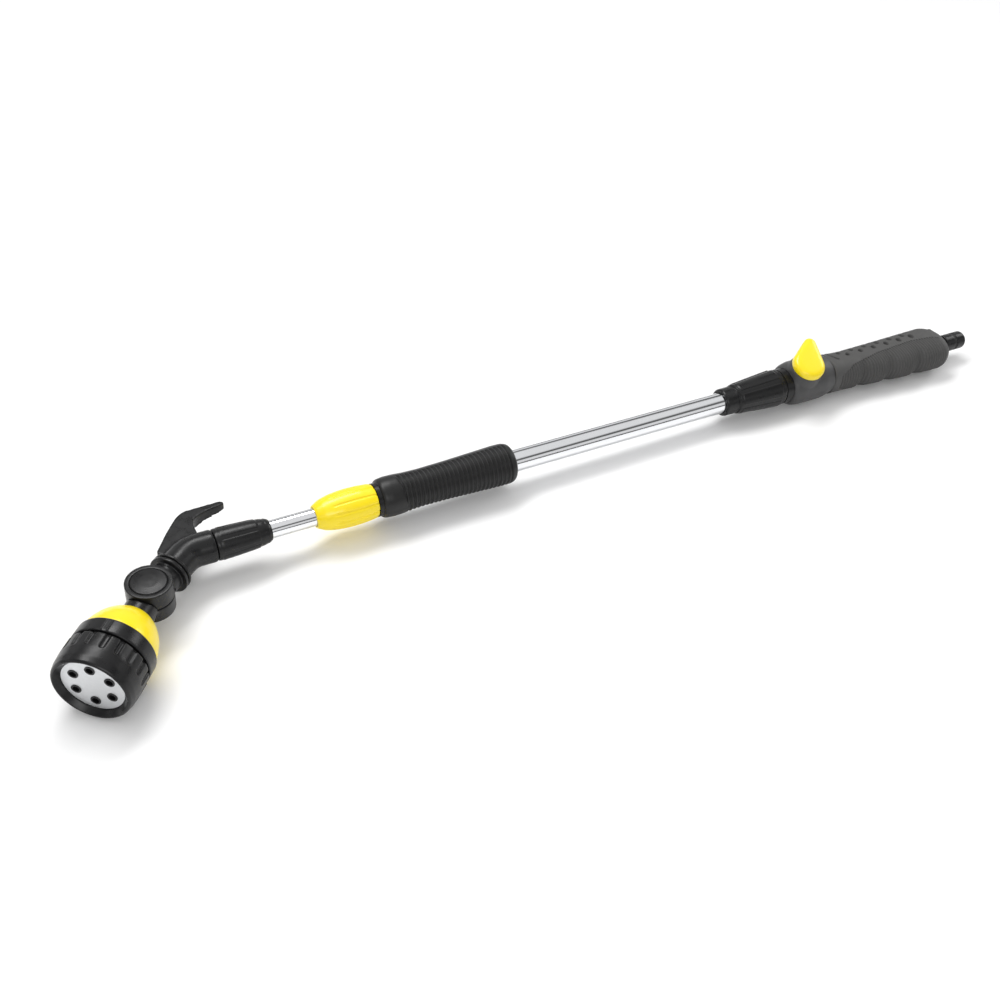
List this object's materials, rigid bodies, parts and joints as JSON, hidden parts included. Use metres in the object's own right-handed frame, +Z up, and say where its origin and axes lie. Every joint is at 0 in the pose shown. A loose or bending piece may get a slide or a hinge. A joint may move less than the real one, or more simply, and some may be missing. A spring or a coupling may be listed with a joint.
{
  "type": "watering wand",
  "caption": "Telescopic garden watering wand with tilting multi-pattern spray head, flow knob, hanging hook, finger grip and click-on hose plug.",
  "frame": {"origin": "middle of the object's box at its base", "axes": "+X along the tubes, towards the hose plug; +Z up, along the valve and knuckle axes, as the wand lies on its side"},
  "size_m": [0.8094, 0.1428, 0.0608],
  "materials": {
    "black_plastic": "satin moulded",
    "housing_plastic": "fine textured",
    "grip_rubber": "soft touch, ribbed",
    "mid_grip_rubber": "soft touch, ribbed",
    "yellow_plastic": "semi-gloss moulded",
    "tube_aluminium": "polished",
    "plate_metal": "satin",
    "seal_rubber": "smooth",
    "natural_plastic": "moulded",
    "steel": "plain"
  },
  "bodies": {
    "handle": {"valve_housing": "housing_plastic", "housing_ring": "black_plastic", "grip_core": "black_plastic", "grip_cover": "grip_rubber", "water_pipe": "black_plastic", "hose_plug": "black_plastic", "plug_o_ring": "seal_rubber", "inlet_filter": "steel", "valve_seats": "seal_rubber", "bonnet_ring": "black_plastic", "rear_collar": "black_plastic", "rear_gasket": "seal_rubber", "outer_tube": "tube_aluminium", "mid_grip": "mid_grip_rubber", "clamp_base": "black_plastic", "collet": "natural_plastic"},
    "clamp": {"clamp_sleeve": "yellow_plastic"},
    "valve": {"flow_knob": "yellow_plastic", "valve_barrel": "natural_plastic", "stem_o_ring": "seal_rubber"},
    "lance": {"inner_tube": "tube_aluminium", "guide_bush": "natural_plastic", "guide_seals": "seal_rubber", "front_collar": "black_plastic", "front_gasket": "seal_rubber", "elbow": "black_plastic", "hanging_hook": "black_plastic", "flange_seal": "seal_rubber", "knuckle_upper": "black_plastic", "knuckle_seal": "seal_rubber", "pivot_screw": "steel", "knuckle_cap": "black_plastic"},
    "head": {"knuckle_lower": "black_plastic", "head_bell": "yellow_plastic", "head_collar": "black_plastic", "distributor": "natural_plastic", "port_gasket": "seal_rubber", "detent_spring": "steel", "detent_ball": "steel", "axle_clip": "steel"},
    "selector": {"bezel": "black_plastic", "spray_plate": "plate_metal", "nozzle_inserts": "black_plastic", "selector_disc": "black_plastic"}
  },
  "joints": [
    {"name": "telescope", "type": "slide", "parent": "handle", "child": "lance", "axis": [-1, 0, 0], "range_m": [-0.031, 0.29]},
    {"name": "clamp_twist", "type": "hinge", "parent": "handle", "child": "clamp", "pos_m": [-0.18967, 0.03341, 0.0265], "axis": [1, 0, 0], "range_deg": [0, 90]},
    {"name": "flow_turn", "type": "hinge", "parent": "handle", "child": "valve", "pos_m": [0.21833, 0.0252, 0.04905], "axis": [0, -0.342, 0.9397], "range_deg": [-45, 45]},
    {"name": "head_tilt", "type": "hinge", "parent": "lance", "child": "head", "pos_m": [-0.33307, 0.00538, 0.0265], "axis": [0, 0, 1], "range_deg": [-95, 80]},
    {"name": "pattern_turn", "type": "hinge", "parent": "head", "child": "selector", "pos_m": [-0.37259, -0.03976, 0.0265], "axis": [-0.6587, -0.7524, 0], "continuous": true}
  ]
}
